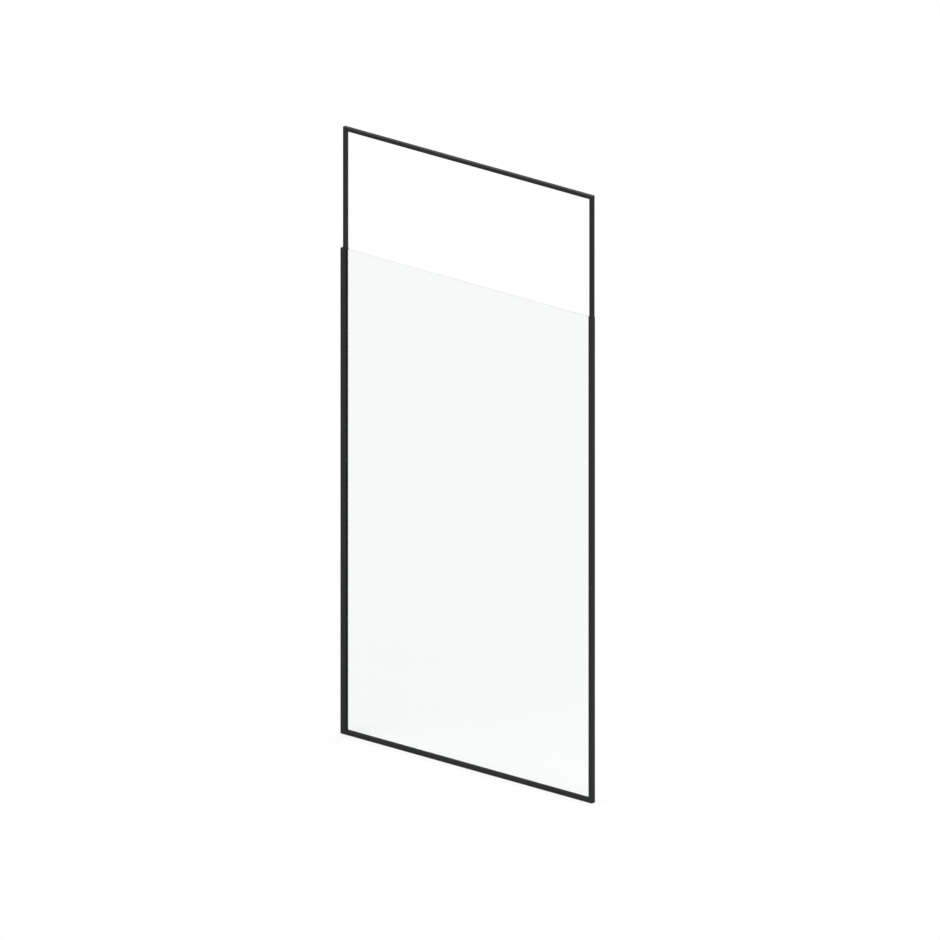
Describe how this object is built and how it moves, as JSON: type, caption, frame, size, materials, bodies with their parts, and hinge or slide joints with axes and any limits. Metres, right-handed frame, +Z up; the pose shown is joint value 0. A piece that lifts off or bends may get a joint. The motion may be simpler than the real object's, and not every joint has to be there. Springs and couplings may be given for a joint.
{
  "type": "walk-in shower screen",
  "caption": "Fixed clear glass shower screen in slim black aluminium sections, with a square tube hoop that rises above the glass; one side fastens to a wall.",
  "frame": {"origin": "foot of the wall face, at floor level, in the middle of the screen's thickness", "axes": "+X along the screen away from the wall, +Y through its thickness, +Z up"},
  "size_m": [1.2, 0.02, 2.5],
  "materials": {
    "frame_black": "matt black powder coat",
    "mill_aluminium": "mill finish",
    "clear_glass": "clear toughened glass with polished edges",
    "black_rubber": "matt black seal",
    "black_plastic": "fine matt moulding"
  },
  "bodies": {
    "root": {"wall_glazing_profile": "frame_black", "post_glazing_profile": "frame_black", "floor_glazing_profile": "frame_black", "hoop_post_wall_side": "frame_black", "hoop_post_free_side": "frame_black", "top_rail": "frame_black", "wall_channel": "mill_aluminium", "foot_key_wall_side": "mill_aluminium", "foot_key_free_side": "mill_aluminium", "head_key_wall_side": "mill_aluminium", "head_key_free_side": "mill_aluminium", "post_spigot_wall_side": "mill_aluminium", "post_spigot_free_side": "mill_aluminium", "glass_pane": "clear_glass", "wall_seal_front": "black_rubber", "wall_seal_back": "black_rubber", "post_seal_front": "black_rubber", "post_seal_back": "black_rubber", "floor_seal_front": "black_rubber", "floor_seal_back": "black_rubber", "profile_cap_wall_side": "black_plastic", "profile_cap_free_side": "black_plastic", "setting_block_wall_side": "black_plastic", "setting_block_free_side": "black_plastic"}
  },
  "joints": []
}
